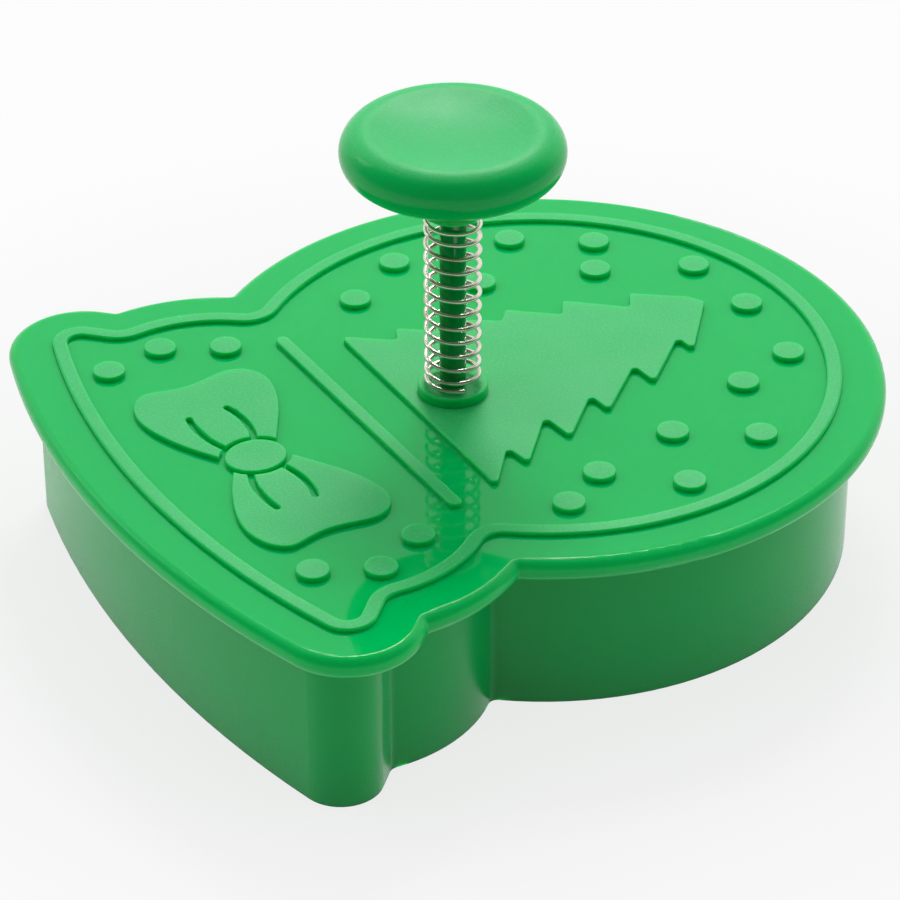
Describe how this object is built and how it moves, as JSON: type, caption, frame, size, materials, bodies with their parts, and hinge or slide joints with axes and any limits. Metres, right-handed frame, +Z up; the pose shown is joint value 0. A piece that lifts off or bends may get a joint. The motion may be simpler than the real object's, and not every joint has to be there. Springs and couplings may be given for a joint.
{
  "type": "plunger cutter",
  "caption": "Spring plunger cutter for biscuits and sugar paste in a snow-globe outline, with a tree, bow and dots in relief and a stamp plate that a round knob pushes down.",
  "frame": {"origin": "centre of the rim's outline, on the plane that the cutting edge stands on", "axes": "+Z up along the plunger's stem; +X along the cutter, from the foot of the globe to its crown"},
  "size_m": [0.08, 0.066, 0.0462],
  "materials": {
    "green_plastic": "glossy moulded plastic, with a fine matt grain on the tops of the relief and of the knob",
    "spring_steel": "bright drawn wire"
  },
  "bodies": {
    "cutter": {"cutter_body": "green_plastic", "return_spring": "spring_steel"},
    "plunger": {"knob": "green_plastic", "plunger_stem": "green_plastic", "stamp_plate": "green_plastic"}
  },
  "joints": [
    {"name": "plunger_press", "type": "slide", "parent": "cutter", "child": "plunger", "axis": [0, 0, -1], "range_m": [0, 0.0115], "stiffness_N_per_m": 290, "springref_m": -0.006, "deforming": ["return_spring"]}
  ]
}
